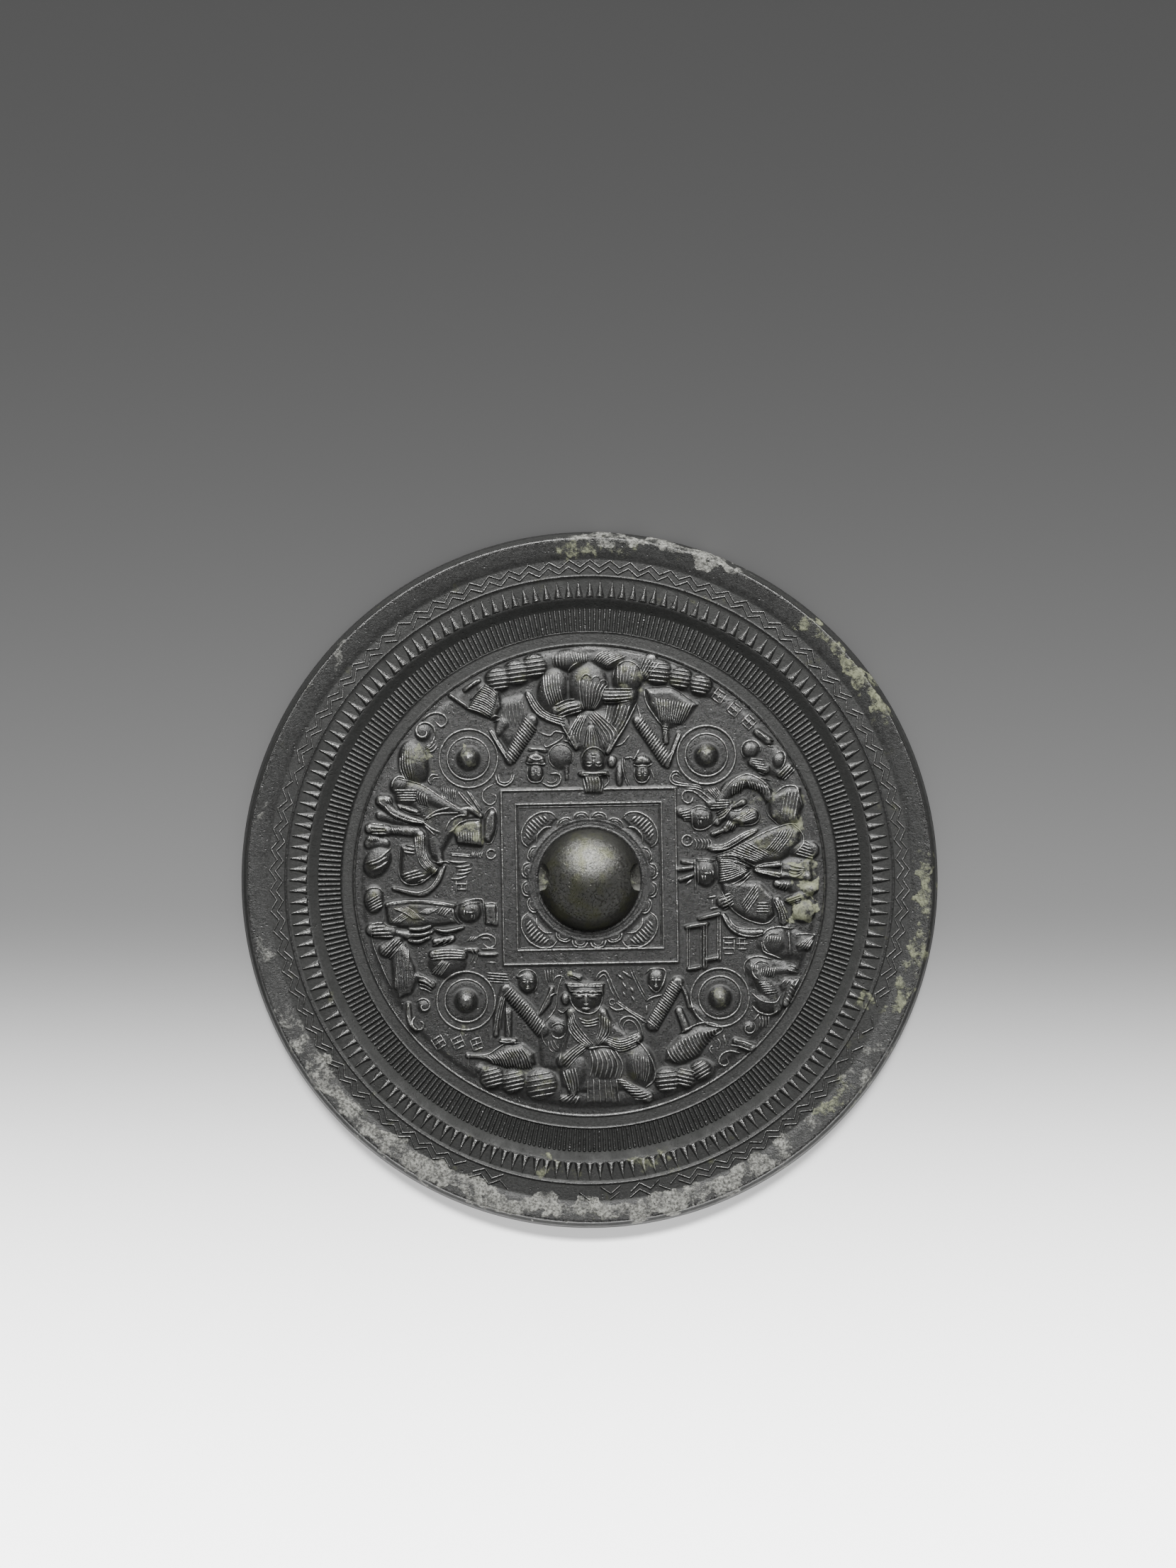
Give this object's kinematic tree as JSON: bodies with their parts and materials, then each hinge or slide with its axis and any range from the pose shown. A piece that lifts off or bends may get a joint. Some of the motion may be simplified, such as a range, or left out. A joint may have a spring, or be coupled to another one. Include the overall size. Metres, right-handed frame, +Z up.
{
  "type": "bronze mirror",
  "caption": "Cast bronze disc mirror lying face down, its back with a pierced domed knob, square frame, figures in relief and ringed rim.",
  "frame": {"origin": "centre of the flat spot on the reflecting face, which the mirror rests on", "axes": "+Z up out of the ornamented back, the channel through the knob along X, +Y towards the figure in the tall hat"},
  "size_m": [0.21, 0.21, 0.0136],
  "materials": {
    "bronze": "high-tin bronze with a smooth dark grey patina, dusty pale green corrosion along the lower rim"
  },
  "bodies": {
    "root": {"mirror_disc": "bronze", "mirror_knob": "bronze"}
  },
  "joints": []
}
